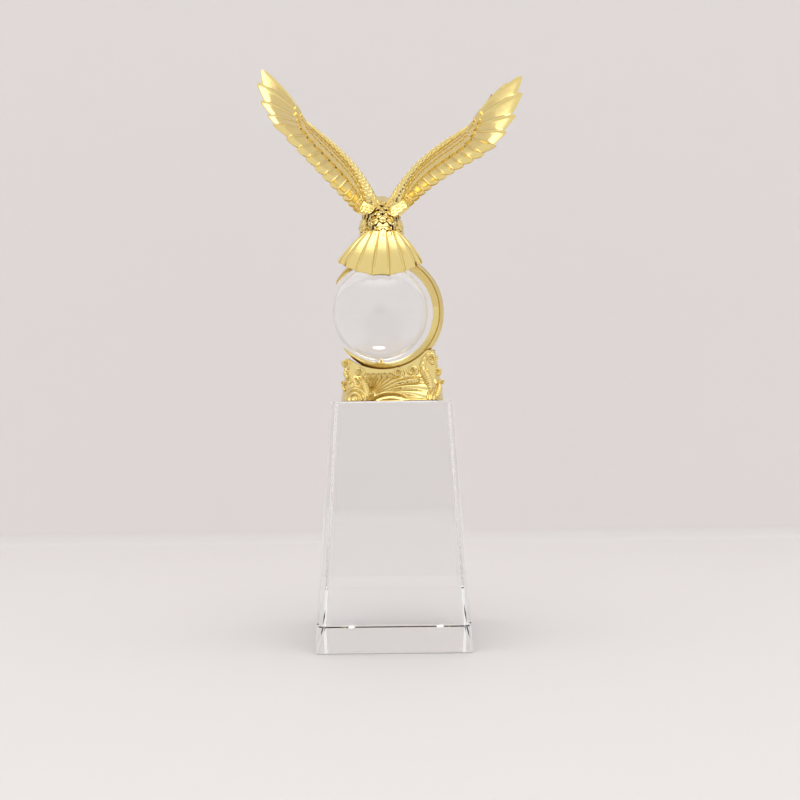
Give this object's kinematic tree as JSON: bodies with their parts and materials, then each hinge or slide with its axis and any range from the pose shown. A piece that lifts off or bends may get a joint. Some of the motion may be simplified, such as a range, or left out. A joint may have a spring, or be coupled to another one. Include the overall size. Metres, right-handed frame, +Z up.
{
  "type": "eagle trophy",
  "caption": "Award trophy: a gold-plated eagle with raised wings lands on a crescent that carries a clear crystal ball, above a wave foot and a tapered crystal block.",
  "frame": {"origin": "middle of the crystal block's underside", "axes": "+Z up; the eagle flies towards +Y and its tail hangs towards -Y; +X is to the right seen from the tail side"},
  "size_m": [0.1325, 0.075, 0.2934],
  "materials": {
    "crystal": "clear polished optical crystal",
    "gold_plate": "bright gold plating on cast zinc"
  },
  "bodies": {
    "root": {"crystal_base": "crystal", "crystal_ball": "crystal", "crescent_stand": "gold_plate", "eagle": "gold_plate"}
  },
  "joints": []
}
